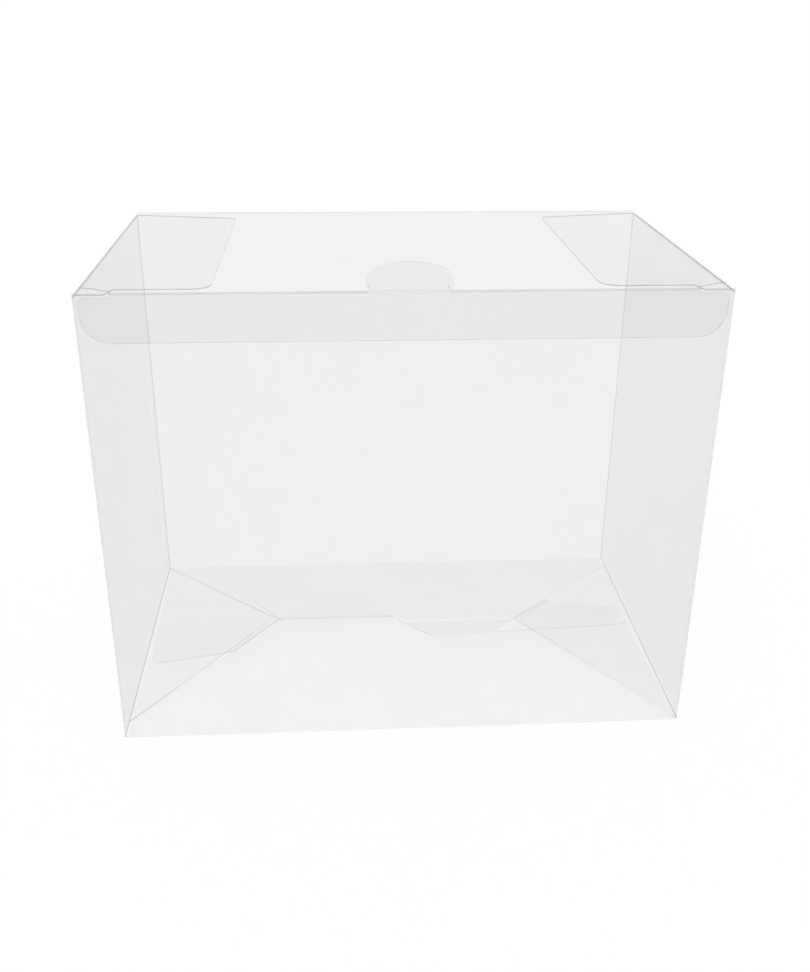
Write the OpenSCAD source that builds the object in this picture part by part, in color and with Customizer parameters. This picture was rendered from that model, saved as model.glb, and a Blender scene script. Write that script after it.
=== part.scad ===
// Clear folding box that protects a boxed figure.
// One die-cut sheet: four walls, tuck lid, two dust flaps and a crash-lock floor.
// The lid is a solid of its own, because it turns about its fold on the back wall.
// Front is -Y, up is +Z, and the origin is the middle of the base.

/* [Box] */
// Outside width, left to right
box_w = 203; // [170:1:260]
// Outside depth, front to back
box_d = 125; // [100:1:160]
// Height of the closed box
box_h = 163; // [120:1:220]
// Thickness of the clear sheet
sheet = 0.4; // [0.3:0.05:0.6]
// Outer radius of the four upright folds
upright_r = 1; // [0.8:0.1:2]

/* [Glued seam] */
// Width of the glue strip inside the left wall
seam_w = 12; // [8:1:16]
// Height left free below and above the glue strip
seam_end = 6; // [4:1:12]
// Slope of the strip's two ends, in degrees
seam_taper = 15; // [5:1:30]

/* [Lid] */
// Gap from the lid's side edges to the outside of the side walls
lid_side = 0.5; // [0.3:0.1:1.5]
// Gap between the lid and what lies under or before it
lid_air = 0.2; // [0.15:0.05:0.4]
// Gap between the lid's fold and the top of the back wall
hinge_air = 0.1; // [0.1:0.05:0.3]
// Outer radius of the fold between lid and tuck flap
tuck_fold_r = 0.8; // [0.7:0.1:1.5]

/* [Tuck flap] */
// Depth of the tuck flap, from the top of the lid
tuck_h = 16; // [10:1:26]
// Gap from the tuck flap's ends to the outside of the side walls
tuck_side = 1.5; // [1.2:0.1:3]
// Radius of the tuck flap's lower corners
tuck_corner_r = 8.5; // [3:0.5:9]
// Gap that the turning tuck flap keeps to the front wall
tuck_air = 0.3; // [0.2:0.05:0.6]

/* [Slit lock] */
// Length of the slit at each end of the lid's front fold
slit_len = 11; // [7:0.5:16]
// Height of the slit, from the lid down to the tuck flap's shoulder
slit_drop = 1.1; // [0.9:0.1:2]
// Radius of the tuck flap's shoulders
shoulder_r = 2; // [1:0.25:4]
// How far back the relief of the lid's corners begins
relief_d = 8.4; // [5:0.2:14]
// How far back the relief ends, at the end of the slit
relief_end = 2.7; // [1.5:0.1:4]
// Radius of the relief's hollow edge
relief_r = 26; // [18:1:60]

/* [Lock tab] */
// Width of the tab at its ears
tab_w = 26.6; // [18:0.2:40]
// Height of the tab above the lid
tab_h = 9.1; // [7.5:0.1:12]
// Radius of the tab's ears
tab_ear_r = 4.8; // [3.5:0.1:6]
// Height of the ears' centres above the lid
tab_ear_z = 2.8; // [1.5:0.1:3]
// Length of the two slits that free the lid behind the tab
tab_slit = 6; // [3:0.5:12]
// Width of every slit that is cut in the lid
slit_w = 0.4; // [0.3:0.1:0.8]

/* [Dust flaps] */
// Reach of the dust flaps, from the outside of the side walls
dust_reach = 40.5; // [28:0.5:60]
// Gap from the dust flaps' front edge to the outside of the front wall
dust_front = 7.6; // [4:0.1:12]
// Run of the step from the dust flaps' lock shoulder to their front edge
dust_step = 1.8; // [0.5:0.1:4]
// Gap between the lock shoulder and the tuck flap
dust_air = 0.3; // [0.2:0.05:0.6]
// Slope of the dust flaps' back edge, in degrees
dust_taper = 11; // [5:1:20]
// Radius of the dust flaps' front corner
dust_front_r = 6; // [2:0.5:12]
// Radius of the dust flaps' back corner
dust_back_r = 4; // [1:0.5:10]
// Outer radius of the fold at the dust flaps
dust_fold_r = 0.8; // [0.7:0.1:1.5]

/* [Crash-lock floor] */
// Height of the floor's underside along its middle
floor_rise = 8; // [5:0.5:14]
// Reach of the side flaps' folded edge, from wall to middle
side_reach = 55; // [44:0.5:68]
// Gap that one floor flap keeps to another that slides over it
slip = 0.2; // [0.15:0.05:0.4]
// Depth to which the glued sheets are pressed into each other
bond = 0.04; // [0.02:0.01:0.08]
// Gap between the glued side flap and the slanted fold
crease_gap = 0.8; // [0.4:0.1:2]
// Radius of the side flaps' tip
side_tip_r = 3; // [1:0.5:6]
// How far the deep half of a main flap passes the middle
deep_past = 17; // [10:0.5:26]
// How much the deep half's edge falls back towards its outer end
deep_fall = 6; // [2:0.5:9]
// Run of the slanted edge beside the hook
hook_run = 13; // [8:0.5:24]
// How far the hook passes the middle
hook_past = 1; // [0.5:0.25:3]
// Gap between the two hooks
hook_air = 0.6; // [0.4:0.1:1.5]
// Gap from the deep half's outer end to the wall, at its far corner
deep_end = 6; // [3:0.5:12]
// Radius of the deep half's outer corner
deep_r = 7; // [3:0.5:10]
// Gap from the glue tab to the wall beside it
glue_wall = 3; // [2:0.25:6]
// How far the glue tab passes the middle
glue_past = 17; // [8:0.5:26]
// Radius of the glue tab's corner
glue_r = 4; // [1:0.5:8]

/* [Hidden] */
$fn = 96;
clear_sheet = [0.86, 0.88, 0.9, 0.35];
// How far a cutting shape runs past what it cuts
over = 1;
// Number of straight steps in each rounded corner of an outline
corner_steps = 10;

half_w = box_w / 2;
half_d = box_d / 2;

// Levels of the top, counted from the ground
lid_under = box_h - sheet;
dust_top = lid_under - lid_air;
back_top = lid_under - hinge_air;

// The tuck flap leans in, so that its lower edge swings past the front wall
fold_y = -half_d + sheet + tuck_air;
hinge_y = half_d - sheet / 2;
hinge_z = box_h - sheet / 2;
swing_r = hinge_y - fold_y;
tuck_drop = hinge_z - (box_h - tuck_h);
tuck_lean = asin((swing_r - sqrt(pow(swing_r, 2) - pow(tuck_drop, 2))) / tuck_drop);
// Height of the arc above its chord, by which the leaning flap swings nearer the dust flaps
swing_sag = pow(tuck_drop, 2) / (8 * swing_r);
dust_shoulder = 2 * sheet + tuck_air + swing_sag + dust_air;

// Slopes of the floor: main flaps rise from front and back, side flaps from the sides
main_slope = floor_rise / half_d;
side_slope = floor_rise / side_reach;
main_tilt = atan(main_slope);
side_tilt = atan(side_slope);
// The main flaps' shallow halves end where the deep half of the other has room above them
seam_gap = (sheet / cos(main_tilt) + slip) / (2 * main_slope);

// Half width of the tab where it leaves the wall, and the arc over its two ears
ear_x = tab_w / 2 - tab_ear_r;
tab_foot = ear_x + sqrt(pow(tab_ear_r, 2) - pow(tab_ear_z, 2));
ear_rise = tab_h - tab_ear_z;
crown_r = (pow(ear_x, 2) + pow(ear_rise, 2) - pow(tab_ear_r, 2)) / (2 * (ear_rise - tab_ear_r));

function unit(v) = v / norm(v);

// Points of one corner of an outline, rounded to radius r
function corner(before, at, after, r) =
    let (
        u = unit(before - at),
        w = unit(after - at),
        half = acos(u * w) / 2,
        centre = at + unit(u + w) * r / sin(half),
        first = at + u * r / tan(half) - centre,
        last = at + w * r / tan(half) - centre,
        start = atan2(first[1], first[0]),
        turn = atan2(last[1], last[0]) - start,
        sweep = turn > 180 ? turn - 360 : turn < -180 ? turn + 360 : turn
    )
    [for (i = [0:corner_steps])
        centre + r * [cos(start + sweep * i / corner_steps), sin(start + sweep * i / corner_steps)]];

// An outline from [x, y, radius] corners, sharp where the radius is 0
function rounded(c) =
    let (n = len(c), p = [for (q = c) [q[0], q[1]]])
    [for (i = [0:n - 1])
        each c[i][2] > 0 ? corner(p[(i + n - 1) % n], p[i], p[(i + 1) % n], c[i][2]) : [p[i]]];

// Inward distance from the left wall at which n sheets still pass under the front flap
function under_deep(from_front, n) =
    (main_slope * from_front - n * sheet / cos(main_tilt) - slip) / side_slope;

module both_sides() {
    children();
    mirror([1, 0, 0]) children();
}

module both_ways() {
    children();
    rotate([0, 0, 180]) children();
}

module round_rect(w, d, r) {
    square([w - 2 * r, d], center = true);
    square([w, d - 2 * r], center = true);
    for (x = [-1, 1])
        for (y = [-1, 1])
            translate([x * (w / 2 - r), y * (d / 2 - r)]) circle(r);
}

// A bend of the sheet about the origin, from one angle to another, with a short flat at each end
module bend(r, first, last) {
    far = 2 * r;
    middle = (first + last) / 2;
    rotate(first) translate([r - sheet, -sheet]) square(sheet);
    rotate(last) translate([r - sheet, 0]) square(sheet);
    intersection() {
        difference() {
            circle(r);
            circle(r - sheet);
        }
        polygon([[0, 0], far * [cos(first), sin(first)], far * [cos(middle), sin(middle)],
            far * [cos(last), sin(last)]]);
    }
}

// Walls: a ring with folded corners, lower where the lid and the dust flaps fold over
module walls() {
    difference() {
        linear_extrude(box_h) difference() {
            round_rect(box_w, box_d, upright_r);
            round_rect(box_w - 2 * sheet, box_d - 2 * sheet, upright_r - sheet);
        }
        both_sides()
            translate([-half_w - over, -half_d + upright_r, dust_top - dust_fold_r])
                cube([over + upright_r, box_d, box_h]);
        translate([-half_w - over, half_d - upright_r, back_top])
            cube([box_w + 2 * over, upright_r + over, box_h]);
    }
}

// Strip of the back wall that is bonded inside the left wall
module seam() {
    fall = seam_w * tan(seam_taper);
    translate([-half_w + sheet / 2, 0, 0])
        rotate([90, 0, 90])
            linear_extrude(sheet * 1.5)
                polygon([[half_d - sheet / 2, seam_end], [half_d - seam_w, seam_end + fall],
                    [half_d - seam_w, box_h - seam_end - fall], [half_d - sheet / 2, box_h - seam_end]]);
}

// Rounded lock tab on the top edge of the front wall, narrower at its foot than at its ears
module lock_tab() {
    translate([0, -half_d + sheet, box_h])
        rotate([90, 0, 0])
            linear_extrude(sheet)
                intersection() {
                    union() {
                        for (side = [-1, 1])
                            translate([side * ear_x, tab_ear_z]) circle(tab_ear_r);
                        intersection() {
                            translate([0, tab_h - crown_r]) circle(crown_r);
                            polygon([[0, tab_h - crown_r], [-ear_x, tab_ear_z] * 3 - [0, 2 * (tab_h - crown_r)],
                                [ear_x, tab_ear_z] * 3 - [0, 2 * (tab_h - crown_r)]]);
                        }
                        translate([-ear_x, -sheet]) square([2 * ear_x, sheet + tab_ear_z + tab_ear_r / 2]);
                    }
                    translate([-tab_w, -sheet]) square([2 * tab_w, tab_h + 2 * sheet]);
                }
}

// Left dust flap with its slit-lock shoulder in front
module dust_flap() {
    front = -half_d + dust_front;
    shoulder = -half_d + dust_shoulder;
    back = half_d - upright_r - lid_air;
    root = -half_w + dust_fold_r;
    tip = -half_w + dust_reach;
    fall = (dust_reach - dust_fold_r) * tan(dust_taper);
    step = -half_w + slit_len;
    translate([0, 0, dust_top - sheet])
        linear_extrude(sheet)
            polygon(rounded([[root, shoulder, 0], [step - dust_step, shoulder, 0], [step, front, 0],
                [tip, front, dust_front_r], [tip, back - fall, dust_back_r], [root, back, 0]]));
    translate([root, back, dust_top - dust_fold_r])
        rotate([90, 0, 0])
            linear_extrude(back - shoulder) bend(dust_fold_r, 90, 180);
}

// Sheets of the floor: a plan outline cut from a sheet that rises from the front or the left wall
module rising_from_front() {
    intersection() {
        linear_extrude(box_h) children();
        translate([0, -half_d, 0])
            rotate([main_tilt, 0, 0])
                translate([-box_w, -over, 0]) cube([2 * box_w, 2 * box_d, sheet]);
    }
}

module rising_from_left(lift, thick) {
    intersection() {
        linear_extrude(box_h) children();
        translate([-half_w, 0, 0])
            rotate([0, -side_tilt, 0])
                translate([-over, -box_d, lift]) cube([box_w, 2 * box_d, thick]);
    }
}

// Front main flap: shallow half at the right, hook in the middle, deep half at the left
module main_flap() {
    root = -half_d + sheet / 2;
    hip = side_reach / half_d;
    rising_from_front()
        polygon(rounded([[half_w - sheet / 2 * hip, root, 0],
            [half_w - (half_d - seam_gap) * hip, -seam_gap, 0],
            [-hook_air / 2, -seam_gap, 0], [-hook_air / 2, hook_past, 0],
            [-hook_run, deep_past, deep_r / 2],
            [-half_w + deep_end, deep_past - deep_fall, deep_r],
            [-half_w + upright_r + lid_air, root, 0]]));
}

// Glue tab of the back main flap, past its slanted fold, under the left side flap
module glue_tab() {
    hip = side_reach / half_d;
    low = half_d - glue_past;
    bite = sheet;
    rising_from_left(0, sheet)
        polygon(rounded([[-half_w + sheet / 2 * hip + bite, half_d - sheet / 2, 0],
            [-half_w + (half_d - seam_gap) * hip + bite, seam_gap, 0],
            [-half_w + (half_d - seam_gap) * hip - bite, seam_gap - 2 * bite, 0],
            [-half_w + under_deep(low, 1), -glue_past, glue_r / 2],
            [-half_w + glue_wall, -glue_past, glue_r],
            [-half_w + sheet * 2, half_d - glue_wall * 2, 0],
            [-half_w + sheet / 2 * hip, half_d - sheet * 2, 0]]));
}

// Left side flap: bonded to the glue tab behind, free in front under the deep half
module side_flap() {
    hip = side_reach / half_d;
    // Where the free edge, which keeps clear of the deep half, meets the bonded edge
    start_y = (2 * sheet / cos(main_tilt) + slip) / main_slope;
    tip_y = (start_y + box_d - crease_gap) / 2;
    rising_from_left(sheet - bond, sheet + bond)
        polygon(rounded([[-half_w + sheet / 2, -half_d + start_y, 0],
            [-half_w + under_deep(tip_y, 2), -half_d + tip_y, side_tip_r],
            [-half_w + sheet / 2, half_d - crease_gap - sheet, 0]]));
}

module box_body() {
    color(clear_sheet) {
        walls();
        seam();
        lock_tab();
        both_sides() dust_flap();
        both_ways() {
            main_flap();
            glue_tab();
            side_flap();
        }
    }
}

// Section of the lid, seen from the right: bead at the fold, panel, bend and tuck flap
module lid_section() {
    centre = [fold_y + tuck_fold_r, box_h - tuck_fold_r];
    translate([hinge_y, hinge_z]) circle(sheet / 2);
    translate([centre[0], lid_under]) square([hinge_y - centre[0], sheet]);
    translate(centre) {
        bend(tuck_fold_r, 90, 180 + tuck_lean);
        rotate(tuck_lean)
            translate([-tuck_fold_r, -(tuck_h - tuck_fold_r) / cos(tuck_lean)])
                square([sheet, (tuck_h - tuck_fold_r) / cos(tuck_lean)]);
    }
}

// What is cut away at the left end of the tuck flap: its end, shoulder and lower corner
module tuck_end_cut() {
    end = -half_w + tuck_side;
    low = box_h - tuck_h;
    slit_z = box_h - sheet - slit_drop;
    translate([0, fold_y + tuck_fold_r + 3 * over, 0])
        rotate([90, 0, 0])
            linear_extrude(tuck_fold_r + 4 * over)
                difference() {
                    translate([-half_w - over, low - over])
                        square([over + slit_len, tuck_h + over - sheet / 2]);
                    polygon(rounded([[end, low, tuck_corner_r], [end + box_w, low, 0],
                        [end + box_w, slit_z, 0], [end, slit_z, shoulder_r]]));
                }
}

// Hollow relief of the lid's left front corner, down to the end of the slit
module corner_relief() {
    from = [-half_w + lid_side, -half_d + relief_d];
    to = [-half_w + slit_len - slit_w, -half_d + relief_end];
    chord = norm(to - from);
    side = unit([from[1] - to[1], to[0] - from[0]]);
    centre = (from + to) / 2 - side * sqrt(pow(relief_r, 2) - pow(chord / 2, 2));
    translate([0, 0, lid_under - sheet])
        linear_extrude(3 * sheet)
            union() {
                intersection() {
                    translate(centre) circle(relief_r);
                    polygon([centre, centre + 2 * (from - centre), centre + 2 * (to - centre)]);
                }
                polygon([from - [over, 0], from, to, [-half_w + slit_len, fold_y - over],
                    [-half_w - over, fold_y - over]]);
            }
}

// Cut along the front fold behind the tab, and the two slits that free the lid there
module tab_cuts() {
    translate([-tab_foot, fold_y - over, box_h - sheet - slit_w])
        cube([2 * tab_foot, over + tuck_fold_r + slit_w, slit_w]);
    for (side = [-1, 1])
        translate([side * tab_foot - slit_w / 2, fold_y - over, box_h - sheet - slit_w])
            cube([slit_w, over + tab_slit, sheet + slit_w + over]);
}

module lid() {
    color(clear_sheet) difference() {
        translate([-half_w + lid_side, 0, 0])
            rotate([90, 0, 90])
                linear_extrude(box_w - 2 * lid_side) lid_section();
        both_sides() {
            tuck_end_cut();
            corner_relief();
        }
        tab_cuts();
    }
}

box_body();
lid();
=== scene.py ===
import math

import bpy
from mathutils import Matrix, Vector
from mathutils.bvhtree import BVHTree


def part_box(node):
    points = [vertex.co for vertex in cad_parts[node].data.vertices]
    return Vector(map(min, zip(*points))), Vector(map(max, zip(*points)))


# Clear folding box: the looks of its sheet, cut edges and folds, and a pale studio
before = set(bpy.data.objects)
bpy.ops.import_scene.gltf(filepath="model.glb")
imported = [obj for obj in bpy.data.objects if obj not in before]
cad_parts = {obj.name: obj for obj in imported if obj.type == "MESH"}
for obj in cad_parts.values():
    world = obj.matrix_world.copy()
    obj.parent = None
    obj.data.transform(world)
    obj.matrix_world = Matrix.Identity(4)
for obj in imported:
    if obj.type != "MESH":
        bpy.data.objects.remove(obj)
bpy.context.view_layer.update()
print("frame loaded:", sorted(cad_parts))

millimetre = 0.001


# Small helpers for node trees

def addNode(tree, kind, at, **settings):
    node = tree.nodes.new(kind)
    node.location = at
    for name, value in settings.items():
        setattr(node, name, value)
    return node


def mathStep(tree, operation, at, *inputs, clamp=False):
    # inputs are numbers or sockets
    node = addNode(tree, "ShaderNodeMath", at, operation=operation, use_clamp=clamp)
    for socket, value in zip(node.inputs, inputs):
        if isinstance(value, bpy.types.NodeSocket):
            tree.links.new(value, socket)
        else:
            socket.default_value = value
    return node.outputs[0]


def newGroup(name, inputs, outputs):
    # inputs are (name, default), outputs are names, and all are plain values
    tree = bpy.data.node_groups.new(name, "ShaderNodeTree")
    for label, default in inputs:
        socket = tree.interface.new_socket(label, in_out="INPUT", socket_type="NodeSocketFloat")
        socket.default_value = default
    for label in outputs:
        tree.interface.new_socket(label, in_out="OUTPUT", socket_type="NodeSocketFloat")
    entry = addNode(tree, "NodeGroupInput", (-1200, 0))
    leave = addNode(tree, "NodeGroupOutput", (900, 0))
    return tree, entry, leave


def placeGroup(tree, group, at, **values):
    node = addNode(tree, "ShaderNodeGroup", at, node_tree=group)
    for name, value in values.items():
        node.inputs[name].default_value = value
    return node


# Fine scratches from handling: thin bright bands of two stretched noises, in patches
scratches = {
    "turns": [0.35, -0.95],       # the two directions that the sheet was wiped in, in radians
    "sideTurn": 0.7,              # share of that turn about the second axis
    "stretch": (1.0, 0.06, 0.3),
    "detail": 2.0,
    "finer": 0.6,                 # how much closer the second scratches lie
    "level": 0.5,                 # value of the noise that a scratch follows
    "shift": 0.04,                # the second scratches follow a value this much higher
    "sharpness": 160.0,
    "patchScale": 14.0,
    "patchContrast": 5.0,
    "patchStart": 2.4,
}


def buildHairlines(values):
    tree, entry, leave = newGroup("hairlines", [("Spacing", 60.0), ("Amount", 0.5)], ["Mask"])
    place = addNode(tree, "ShaderNodeTexCoord", (-1200, 300))
    bands = []
    for index, turn in enumerate(values["turns"]):
        row = 300 - 350 * index
        spin = addNode(tree, "ShaderNodeMapping", (-950, row))
        spin.inputs["Rotation"].default_value = (turn, turn * values["sideTurn"], turn)
        spin.inputs["Scale"].default_value = values["stretch"]
        tree.links.new(place.outputs["Object"], spin.inputs["Vector"])
        noise = addNode(tree, "ShaderNodeTexNoise", (-700, row))
        noise.inputs["Detail"].default_value = values["detail"]
        tree.links.new(spin.outputs["Vector"], noise.inputs["Vector"])
        closer = 1.0 + values["finer"] * index
        spacing = mathStep(tree, "MULTIPLY", (-950, row - 200), entry.outputs["Spacing"], closer)
        tree.links.new(spacing, noise.inputs["Scale"])
        level = values["level"] + values["shift"] * index
        offset = mathStep(tree, "SUBTRACT", (-450, row), noise.outputs["Fac"], level)
        away = mathStep(tree, "ABSOLUTE", (-250, row), offset)
        bands.append(mathStep(tree, "MULTIPLY_ADD", (-50, row),
                              away, -values["sharpness"], 1.0, clamp=True))
    patch = addNode(tree, "ShaderNodeTexNoise", (-700, -450))
    patch.inputs["Scale"].default_value = values["patchScale"]
    tree.links.new(place.outputs["Object"], patch.inputs["Vector"])
    patchy = mathStep(tree, "MULTIPLY_ADD", (-450, -450), patch.outputs["Fac"],
                      values["patchContrast"], -values["patchStart"], clamp=True)
    both = mathStep(tree, "MAXIMUM", (150, 100), bands[0], bands[1])
    shown = mathStep(tree, "MULTIPLY", (350, 100), both, patchy)
    scaled = mathStep(tree, "MULTIPLY", (550, 100), shown, entry.outputs["Amount"])
    tree.links.new(scaled, leave.inputs["Mask"])
    return tree


# Slow drift in tone, as handled clear sheet has
drift = {
    "detail": 3.0,
    "noiseRange": (0.3, 0.7),     # values of the noise that give the lowest and the highest tone
}


def buildSoftCloud(values):
    tree, entry, leave = newGroup(
        "softCloud", [("Scale", 18.0), ("Low", 0.9), ("High", 1.1)], ["Value", "Height"])
    place = addNode(tree, "ShaderNodeTexCoord", (-1000, 200))
    noise = addNode(tree, "ShaderNodeTexNoise", (-750, 200))
    noise.inputs["Detail"].default_value = values["detail"]
    tree.links.new(place.outputs["Object"], noise.inputs["Vector"])
    tree.links.new(entry.outputs["Scale"], noise.inputs["Scale"])
    spread = addNode(tree, "ShaderNodeMapRange", (-450, 200))
    spread.inputs["From Min"].default_value = values["noiseRange"][0]
    spread.inputs["From Max"].default_value = values["noiseRange"][1]
    tree.links.new(noise.outputs["Fac"], spread.inputs["Value"])
    tree.links.new(entry.outputs["Low"], spread.inputs["To Min"])
    tree.links.new(entry.outputs["High"], spread.inputs["To Max"])
    tree.links.new(spread.outputs["Result"], leave.inputs["Value"])
    tree.links.new(noise.outputs["Fac"], leave.inputs["Height"])
    return tree


# The two slanted folds of the floor, from opposite corners of the walls to the middle
slantedFolds = {
    "reach": 55 * millimetre,     # how far from the side wall they end, at the middle
    "halfLine": 0.25 * millimetre,
    "frontShare": 0.3,            # how clear the one in front is, next to the one behind
}


def buildSlantedFold(values):
    tree, entry, leave = newGroup("slantedFold", [
        ("Half Width", 0.1), ("Half Depth", 0.06), ("Reach", values["reach"]),
        ("Line", values["halfLine"])], ["Mask"])
    place = addNode(tree, "ShaderNodeTexCoord", (-1200, 300))
    parts = addNode(tree, "ShaderNodeSeparateXYZ", (-1000, 300))
    tree.links.new(place.outputs["Object"], parts.inputs["Vector"])
    facing = mathStep(tree, "SIGN", (-800, 400), parts.outputs["Y"])
    across = mathStep(tree, "MULTIPLY", (-600, 400), parts.outputs["X"], facing)
    inward = mathStep(tree, "ADD", (-400, 400), across, entry.outputs["Half Width"])
    share = mathStep(tree, "DIVIDE", (-200, 400), inward, entry.outputs["Reach"])
    depth = mathStep(tree, "ABSOLUTE", (-800, 200), parts.outputs["Y"])
    fromWall = mathStep(tree, "SUBTRACT", (-600, 200), entry.outputs["Half Depth"], depth)
    run = mathStep(tree, "DIVIDE", (-400, 200), fromWall, entry.outputs["Half Depth"])
    apart = mathStep(tree, "SUBTRACT", (0, 300), share, run)
    length = mathStep(tree, "MULTIPLY", (150, 300), apart, entry.outputs["Reach"])
    away = mathStep(tree, "ABSOLUTE", (300, 300), length)
    near = mathStep(tree, "LESS_THAN", (450, 300), away, entry.outputs["Line"])
    back = mathStep(tree, "GREATER_THAN", (450, 100), parts.outputs["Y"], 0.0)
    clear = mathStep(tree, "MULTIPLY_ADD", (600, 100),
                     back, 1.0 - values["frontShare"], values["frontShare"])
    mask = mathStep(tree, "MULTIPLY", (700, 200), near, clear)
    tree.links.new(mask, leave.inputs["Mask"])
    return tree


hairlines = buildHairlines(scratches)
softCloud = buildSoftCloud(drift)
slantedFold = buildSlantedFold(slantedFolds)
print("shared effects built")


def startMaterial(name):
    made = bpy.data.materials.new(name)
    made.use_nodes = True
    tree = made.node_tree
    shader = tree.nodes["Principled BSDF"]
    shader.location = (700, 0)
    tree.nodes["Material Output"].location = (1050, 0)
    return made, tree, shader


# Clear sheet: faint grey layers that add up, denser where seen at a slant
wallSheet = {
    "tone": (0.43, 0.435, 0.44, 1.0),
    "scratchTone": (0.75, 0.75, 0.76, 1.0),
    "cover": 0.064,               # share that one face of the sheet covers, seen square on
    "slant": 2.2,                 # how much more it covers, seen edge on
    "cloudScale": 14.0,
    "cloud": (0.95, 1.05),
    "scratchSpacing": 55.0,
    "scratchAmount": 1.0,
    "scratchCover": 0.012,
    "scratchRoughness": 0.25,     # how much rougher a scratch is
    "foldCover": 0.0,             # how much more the line of a slanted fold covers
    "roughness": 0.08,
    "waveStrength": 0.15,
    "waveHeight": 0.5 * millimetre,
    "refraction": 1.5,
    "passed": 0.955,              # what it lets through, where many sheets lie behind each other
}
# the lid's sheet covers less than the walls' so the top reads lighter: painted light, as if lit
# from above
topSheet = dict(wallSheet, cover=0.046, slant=0.5, passed=0.965)
sideFlapSheet = dict(wallSheet, cover=0.052, slant=1.6, foldCover=0.10, passed=0.945)
glueTabSheet = dict(sideFlapSheet, cover=0.100, passed=0.92)
# the back flap's sheet covers more and the front flap's less: painted shade that makes the back
# flap darker than the front one
# the main flaps show less where they lie over the others: past the middle and over a side flap
backFlapSheet = dict(
    sideFlapSheet, cover=0.074,
    facing=-1,                    # 1 on the front flap, -1 on the back one
    over=2.4 * millimetre,        # how far past the middle the deep half starts to show less
    faded=0.5,                    # what is left of its cover there
    sideRun=0.93,                 # run of the side flap's free edge, as the camera sees it
    sideStart=-8.8 * millimetre,
    sideFaded=0.2)
frontFlapSheet = dict(backFlapSheet, cover=0.054, facing=1, faded=0.12,
                      sideStart=-6.9 * millimetre, sideFaded=0.12)

# The renderer stops after eight see-through faces, so from this depth on a face tints instead
lastSeeThrough = 5.5


def addThrough(tree, shader, passed):
    rays = addNode(tree, "ShaderNodeLightPath", (350, 700))
    deep = mathStep(tree, "GREATER_THAN", (550, 700),
                    rays.outputs["Transparent Depth"], lastSeeThrough)
    lit = mathStep(tree, "SUBTRACT", (550, 550), 1.0, rays.outputs["Is Shadow Ray"])
    share = mathStep(tree, "MULTIPLY", (750, 650), deep, lit)
    tint = addNode(tree, "ShaderNodeBsdfRefraction", (750, 450))
    tint.inputs["Color"].default_value = (passed, passed, passed, 1.0)
    tint.inputs["IOR"].default_value = 1.0
    tint.inputs["Roughness"].default_value = 0.0
    blend = addNode(tree, "ShaderNodeMixShader", (1050, 300))
    tree.links.new(share, blend.inputs["Fac"])
    tree.links.new(shader.outputs["BSDF"], blend.inputs[1])
    tree.links.new(tint.outputs["BSDF"], blend.inputs[2])
    tree.links.new(blend.outputs["Shader"], tree.nodes["Material Output"].inputs["Surface"])


def overlapShare(tree, values):
    # 1 where a main flap lies by itself, less past the middle and over the side flap next to it
    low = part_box("box_body")[0]
    place = addNode(tree, "ShaderNodeTexCoord", (-900, 1000))
    parts = addNode(tree, "ShaderNodeSeparateXYZ", (-700, 1000))
    tree.links.new(place.outputs["Object"], parts.inputs["Vector"])
    across = mathStep(tree, "MULTIPLY", (-500, 1150), parts.outputs["X"], values["facing"])
    forward = mathStep(tree, "MULTIPLY", (-500, 1000), parts.outputs["Y"], values["facing"])
    before = mathStep(tree, "LESS_THAN", (-300, 1000), forward, values["over"])
    middle = mathStep(tree, "MULTIPLY_ADD", (50, 1000),
                      before, 1.0 - values["faded"], values["faded"])
    inward = mathStep(tree, "SUBTRACT", (-300, 850), across, low.x)
    run = mathStep(tree, "SUBTRACT", (-300, 700), forward, low.y)
    line = mathStep(tree, "MULTIPLY_ADD", (-100, 700), run, values["sideRun"], values["sideStart"])
    past = mathStep(tree, "GREATER_THAN", (50, 800), inward, line)
    beside = mathStep(tree, "MULTIPLY_ADD", (200, 800),
                      past, 1.0 - values["sideFaded"], values["sideFaded"])
    return mathStep(tree, "MULTIPLY", (350, 900), middle, beside)


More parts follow.
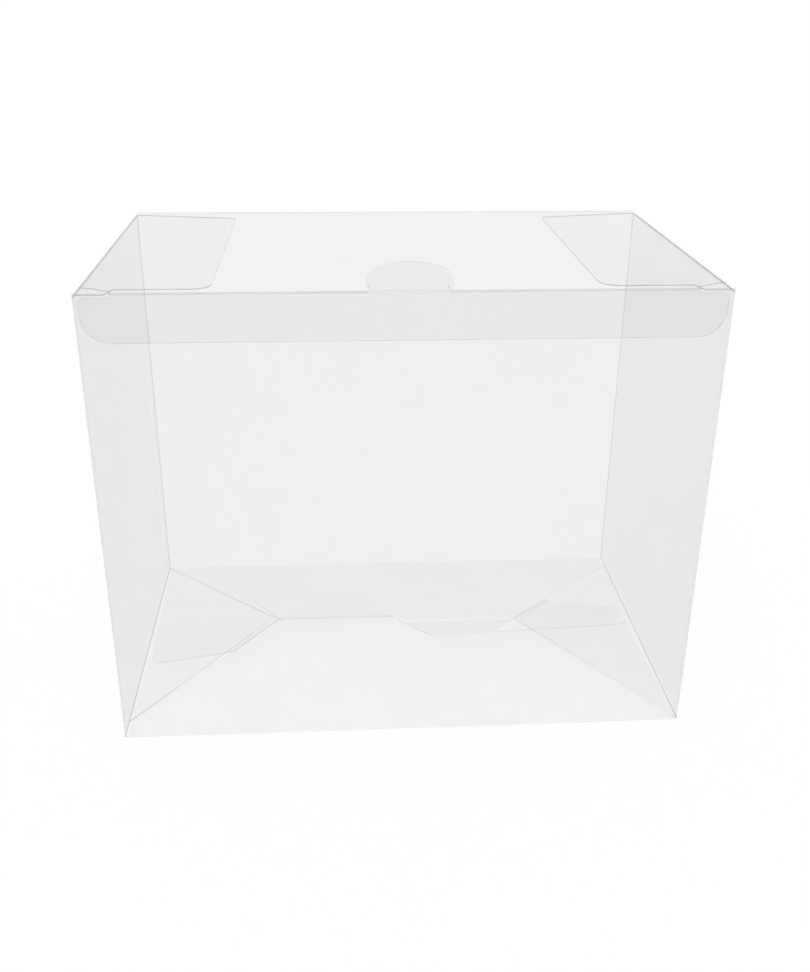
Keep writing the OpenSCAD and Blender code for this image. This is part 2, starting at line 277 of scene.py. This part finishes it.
def sheetMaterial(name, values):
    made, tree, shader = startMaterial(name)
    cloud = placeGroup(tree, softCloud, (-900, 300), Scale=values["cloudScale"],
                       Low=values["cloud"][0], High=values["cloud"][1])
    lines = placeGroup(tree, hairlines, (-900, 0),
                       Spacing=values["scratchSpacing"], Amount=values["scratchAmount"])
    view = addNode(tree, "ShaderNodeLayerWeight", (-900, 600))
    view.inputs["Blend"].default_value = 0.5
    steep = mathStep(tree, "POWER", (-650, 600), view.outputs["Facing"], 2.0)
    slant = mathStep(tree, "MULTIPLY_ADD", (-450, 600), steep, values["slant"], 1.0)
    base = mathStep(tree, "MULTIPLY", (-250, 500), slant, cloud.outputs["Value"])
    cover = mathStep(tree, "MULTIPLY", (-50, 500), base, values["cover"])
    if "faded" in values:
        cover = mathStep(tree, "MULTIPLY", (500, 800), cover, overlapShare(tree, values))
    alpha = mathStep(tree, "MULTIPLY_ADD", (150, 350),
                     lines.outputs["Mask"], values["scratchCover"], cover, clamp=True)
    if values["foldCover"] > 0:
        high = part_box("box_body")[1]
        fold = placeGroup(tree, slantedFold, (-900, -300))
        fold.inputs["Half Width"].default_value = high.x
        fold.inputs["Half Depth"].default_value = high.y
        alpha = mathStep(tree, "MULTIPLY_ADD", (350, 250),
                         fold.outputs["Mask"], values["foldCover"], alpha, clamp=True)
    tree.links.new(alpha, shader.inputs["Alpha"])
    tone = addNode(tree, "ShaderNodeMix", (350, 0), data_type="RGBA")
    tone.inputs["A"].default_value = values["tone"]
    tone.inputs["B"].default_value = values["scratchTone"]
    tree.links.new(lines.outputs["Mask"], tone.inputs["Factor"])
    tree.links.new(tone.outputs["Result"], shader.inputs["Base Color"])
    rough = mathStep(tree, "MULTIPLY_ADD", (350, -200),
                     lines.outputs["Mask"], values["scratchRoughness"], values["roughness"])
    tree.links.new(rough, shader.inputs["Roughness"])
    wave = addNode(tree, "ShaderNodeBump", (350, -400))
    wave.inputs["Strength"].default_value = values["waveStrength"]
    wave.inputs["Distance"].default_value = values["waveHeight"]
    tree.links.new(cloud.outputs["Height"], wave.inputs["Height"])
    tree.links.new(wave.outputs["Normal"], shader.inputs["Normal"])
    shader.inputs["IOR"].default_value = values["refraction"]
    addThrough(tree, shader, values["passed"])
    return made


# Cut edges: light gathers there, so they read as thin grey lines
cutEdge = {
    "tone": (0.26, 0.265, 0.27, 1.0),
    "cover": 0.45,
    "cloudScale": 60.0,
    "cloud": (0.85, 1.15),
    "scratchSpacing": 160.0,
    "scratchAmount": 0.5,
    "scratchRoughness": 0.3,
    "roughness": 0.35,
    "grainStrength": 0.3,
    "grainHeight": 0.1 * millimetre,
    "refraction": 1.5,
    "passed": 0.75,
}
floorEdge = dict(cutEdge, cover=0.20, passed=0.85)
quietEdge = dict(cutEdge, cover=0.04, passed=0.97)

# Folds: the scored sheet is a little denser and duller there
uprightFold = dict(cutEdge, tone=(0.30, 0.305, 0.31, 1.0), cover=0.30, cloudScale=90.0,
                   cloud=(0.8, 1.2), roughness=0.3, passed=0.88)
sideFold = dict(uprightFold, tone=(0.10, 0.105, 0.11, 1.0), cover=0.62, cloud=(0.95, 1.05),
                passed=0.5)
frontFold = dict(uprightFold, cover=0.15, passed=0.92)


def lineMaterial(name, values):
    made, tree, shader = startMaterial(name)
    cloud = placeGroup(tree, softCloud, (-600, 200), Scale=values["cloudScale"],
                       Low=values["cloud"][0], High=values["cloud"][1])
    lines = placeGroup(tree, hairlines, (-600, -100),
                       Spacing=values["scratchSpacing"], Amount=values["scratchAmount"])
    cover = mathStep(tree, "MULTIPLY", (-300, 200),
                     cloud.outputs["Value"], values["cover"], clamp=True)
    tree.links.new(cover, shader.inputs["Alpha"])
    rough = mathStep(tree, "MULTIPLY_ADD", (-300, -100),
                     lines.outputs["Mask"], values["scratchRoughness"], values["roughness"])
    tree.links.new(rough, shader.inputs["Roughness"])
    shader.inputs["Base Color"].default_value = values["tone"]
    grain = addNode(tree, "ShaderNodeBump", (-300, -350))
    grain.inputs["Strength"].default_value = values["grainStrength"]
    grain.inputs["Distance"].default_value = values["grainHeight"]
    tree.links.new(cloud.outputs["Height"], grain.inputs["Height"])
    tree.links.new(grain.outputs["Normal"], shader.inputs["Normal"])
    shader.inputs["IOR"].default_value = values["refraction"]
    addThrough(tree, shader, values["passed"])
    return made


finishes = {
    "wallSheet": sheetMaterial("wallSheet", wallSheet),
    "topSheet": sheetMaterial("topSheet", topSheet),
    "backFlapSheet": sheetMaterial("backFlapSheet", backFlapSheet),
    "sideFlapSheet": sheetMaterial("sideFlapSheet", sideFlapSheet),
    "glueTabSheet": sheetMaterial("glueTabSheet", glueTabSheet),
    "frontFlapSheet": sheetMaterial("frontFlapSheet", frontFlapSheet),
    "cutEdge": lineMaterial("cutEdge", cutEdge),
    "floorEdge": lineMaterial("floorEdge", floorEdge),
    "quietEdge": lineMaterial("quietEdge", quietEdge),
    "uprightFold": lineMaterial("uprightFold", uprightFold),
    "sideFold": lineMaterial("sideFold", sideFold),
    "frontFold": lineMaterial("frontFold", frontFold),
}
print("finishes made:", len(finishes))

# Each face of the solids gets its finish: sheet, cut edge or fold
faceSorting = {
    "thickest": 1.3 * millimetre,      # what is thicker, measured square to a face, is cut edge
    "probeStart": 0.001 * millimetre,  # how far inside the face that measure starts
    "flatArea": 400 * millimetre ** 2,
    "flatTurn": math.radians(2.0),     # a sheet face lies this near to one of the flat directions
    "mostly": 0.9,                     # a face looks along an axis with this share of its normal
    "hardly": 0.05,                    # and hardly along one with less than this
    "topStart": 160 * millimetre,
    "floorEnd": 13 * millimetre,
    "rimHeight": 0.3 * millimetre,
    "halfSheet": 0.2 * millimetre,
    "floorSlope": 0.128,               # rise of the main flaps, towards the middle
    "sideSlope": 0.1455,               # rise of the side flaps
    "planeSlack": 0.35 * millimetre,
    "freeEdgeEnd": -20 * millimetre,   # the left side flap's free edge is clear in front of this
    "creaseTurn": 0.36,                # a fold is marked where its face leans this evenly both ways
    "sideLine": 1.3 * millimetre,      # how far in from the sides the side folds reach
    "seamStart": 15 * millimetre,      # how far in front of the back wall the bonded strip ends
}


def flatDirections(values):
    # the directions that faces with most of the area have: walls, lid, flaps and floor
    totals = {}
    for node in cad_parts.values():
        for face in node.data.polygons:
            key = tuple(round(value, 2) for value in face.normal)
            totals[key] = totals.get(key, 0.0) + face.area
    return [Vector(key).normalized() for key, area in totals.items() if area > values["flatArea"]]


def floorEdgeFinish(face, side, low, high, values):
    # what lies under or over the back flap hardly shows, and the rim shows most along the sides
    at = face.center
    if face.normal.z < -values["mostly"] and at.z < values["rimHeight"]:
        if side < values["sideLine"]:
            return "cutEdge"
        return "floorEdge" if at.y < 0 else "quietEdge"
    frontHeight = (at.y - low.y) * values["floorSlope"] + values["halfSheet"]
    backHeight = (high.y - at.y) * values["floorSlope"] + values["halfSheet"]
    onFront = abs(frontHeight - at.z) < values["planeSlack"]
    onBack = abs(backHeight - at.z) < values["planeSlack"]
    if onBack and not (onFront and at.y > 0):
        return "floorEdge"
    if at.x < 0 and not onFront:
        return "cutEdge" if at.y < values["freeEdgeEnd"] else "floorEdge"
    return "quietEdge"


def foldFinish(face, side, low, high, values):
    # only the middle of an upright fold is marked, as a thin line
    at, normal = face.center, face.normal
    end = min(at.y - low.y, high.y - at.y)
    if abs(normal.z) < values["hardly"]:
        evenly = abs(abs(normal.x) - abs(normal.y)) < values["creaseTurn"]
        return "uprightFold" if evenly else "wallSheet"
    if abs(normal.x) > values["hardly"]:
        return "sideFold" if side < values["sideLine"] < end else "topSheet"
    return "frontFold"


def pickFinish(face, edge, bent, low, high, values):
    at, normal = face.center, face.normal
    side = min(at.x - low.x, high.x - at.x)
    top = at.z > values["topStart"]
    if edge:
        if at.z < values["floorEnd"]:
            return floorEdgeFinish(face, side, low, high, values)
        fromLeft, fromBack = at.x - low.x, high.y - at.y
        onStrip = fromLeft < values["sideLine"] < fromBack < values["seamStart"]
        onLidSide = top and abs(normal.x) > values["mostly"] and side < values["sideLine"]
        return "quietEdge" if (onStrip and not top) or onLidSide else "cutEdge"
    if bent:
        return foldFinish(face, side, low, high, values)
    if at.z < values["floorEnd"] and abs(normal.z) > values["mostly"]:
        if abs(normal.x) > abs(normal.y):
            underTab = at.z - side * values["sideSlope"] < 0.5 * values["planeSlack"]
            return "glueTabSheet" if normal.z < 0 and underTab else "sideFlapSheet"
        return "frontFlapSheet" if normal.y * normal.z < 0 else "backFlapSheet"
    return "topSheet" if top and abs(normal.z) > values["mostly"] else "wallSheet"


def finishNode(name, flats, values):
    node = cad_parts[name]
    low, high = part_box("box_body")
    mesh = node.data
    mesh.materials.clear()
    order = list(finishes)
    for label in order:
        mesh.materials.append(finishes[label])
    corners = [vertex.co.copy() for vertex in mesh.vertices]
    solid = BVHTree.FromPolygons(corners, [list(face.vertices) for face in mesh.polygons])
    counts = dict.fromkeys(order, 0)
    for face in mesh.polygons:
        inside = face.center - face.normal * values["probeStart"]
        thick = solid.ray_cast(inside, -face.normal)[3]
        edge = thick is None or thick > values["thickest"]
        bent = min(face.normal.angle(flat) for flat in flats) > values["flatTurn"]
        label = pickFinish(face, edge, bent, low, high, values)
        face.material_index = order.index(label)
        counts[label] += 1
    print(name, "faces:", counts)


flats = flatDirections(faceSorting)
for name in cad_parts:
    finishNode(name, flats, faceSorting)
print("sheet, edges and folds finished")


# Studio: a pale floor, seen as white with a faint shadow, and even light from all round
studio = {
    "floorSize": 60.0,
    "floorDrop": 0.02 * millimetre,    # keeps the floor clear of the box's rim
    "floorTone": (0.90, 0.90, 0.90, 1.0),
    "floorRoughness": 0.9,
    "floorShine": 0.1,
    "whiteShare": 0.78,                # how much of the floor that is seen is plain white
    "white": 1.045,
    "worldLight": 0.80,
    "sunLight": 0.62,
    "sunTurn": (math.radians(38), math.radians(8), math.radians(-35)),
    "sunSoftness": math.radians(30),
}


def seenRays(tree, at):
    # 1 for what the camera sees, directly, mirrored or through clear sheet
    left, row = at
    rays = addNode(tree, "ShaderNodeLightPath", at)
    glossy = mathStep(tree, "MAXIMUM", (left + 200, row),
                      rays.outputs["Is Camera Ray"], rays.outputs["Is Glossy Ray"])
    return mathStep(tree, "MAXIMUM", (left + 400, row), glossy, rays.outputs["Is Transmission Ray"])


def buildFloor(values):
    half = values["floorSize"] / 2
    corners = [(-half, -half, 0), (half, -half, 0), (half, half, 0), (-half, half, 0)]
    mesh = bpy.data.meshes.new("floor")
    mesh.from_pydata(corners, [], [(0, 1, 2, 3)])
    floor = bpy.data.objects.new("floor", mesh)
    floor.location.z = -values["floorDrop"]
    bpy.context.collection.objects.link(floor)
    made, tree, shader = startMaterial("paleFloor")
    shader.inputs["Base Color"].default_value = values["floorTone"]
    shader.inputs["Roughness"].default_value = values["floorRoughness"]
    shader.inputs["Specular IOR Level"].default_value = values["floorShine"]
    seen = seenRays(tree, (-400, 300))
    share = mathStep(tree, "MULTIPLY", (200, 300), seen, values["whiteShare"])
    glow = addNode(tree, "ShaderNodeEmission", (700, -500))
    glow.inputs["Color"].default_value = (1, 1, 1, 1)
    glow.inputs["Strength"].default_value = values["white"]
    blend = addNode(tree, "ShaderNodeMixShader", (1000, -200))
    tree.links.new(share, blend.inputs["Fac"])
    tree.links.new(shader.outputs["BSDF"], blend.inputs[1])
    tree.links.new(glow.outputs["Emission"], blend.inputs[2])
    tree.links.new(blend.outputs["Shader"], tree.nodes["Material Output"].inputs["Surface"])
    floor.data.materials.append(made)


def buildLight(values):
    world = bpy.data.worlds.new("studio")
    world.use_nodes = True
    tree = world.node_tree
    back = tree.nodes["Background"]
    back.inputs["Color"].default_value = (1, 1, 1, 1)
    strength = mathStep(tree, "MULTIPLY_ADD", (-200, 0), seenRays(tree, (-800, 0)),
                        1.0 - values["worldLight"], values["worldLight"])
    tree.links.new(strength, back.inputs["Strength"])
    bpy.context.scene.world = world
    sun = bpy.data.lights.new("softSun", "SUN")
    sun.energy = values["sunLight"]
    sun.angle = values["sunSoftness"]
    lamp = bpy.data.objects.new("softSun", sun)
    lamp.rotation_euler = values["sunTurn"]
    bpy.context.collection.objects.link(lamp)


buildFloor(studio)
buildLight(studio)
print("studio built")


# Camera: matched to the eight corners of the box in the picture
cameraFit = {
    "place": Vector((-23.5, -388.9, 249.5)) * millimetre,
    "azimuth": math.radians(3.95),
    "elevation": math.radians(24.88),
    "roll": math.radians(-0.53),
    "focalPixels": 1096.5,
    "imageWidth": 810,
    "sensorWidth": 36.0,
    "nearest": 0.01,
    "farthest": 200.0,
}


def buildCamera(values):
    level = math.cos(values["elevation"])
    forward = Vector((
        math.sin(values["azimuth"]) * level,
        math.cos(values["azimuth"]) * level,
        -math.sin(values["elevation"])))
    lens = bpy.data.cameras.new("camera")
    lens.sensor_fit = "HORIZONTAL"
    lens.sensor_width = values["sensorWidth"]
    lens.lens = values["focalPixels"] / values["imageWidth"] * lens.sensor_width
    lens.clip_start = values["nearest"]
    lens.clip_end = values["farthest"]
    camera = bpy.data.objects.new("camera", lens)
    aim = forward.to_track_quat("-Z", "Y").to_matrix()
    spin = Matrix.Rotation(-values["roll"], 3, "Z")
    camera.matrix_world = Matrix.Translation(values["place"]) @ (aim @ spin).to_4x4()
    bpy.context.collection.objects.link(camera)
    bpy.context.scene.camera = camera


buildCamera(cameraFit)
bpy.context.scene.view_settings.view_transform = "Standard"
print("camera placed")
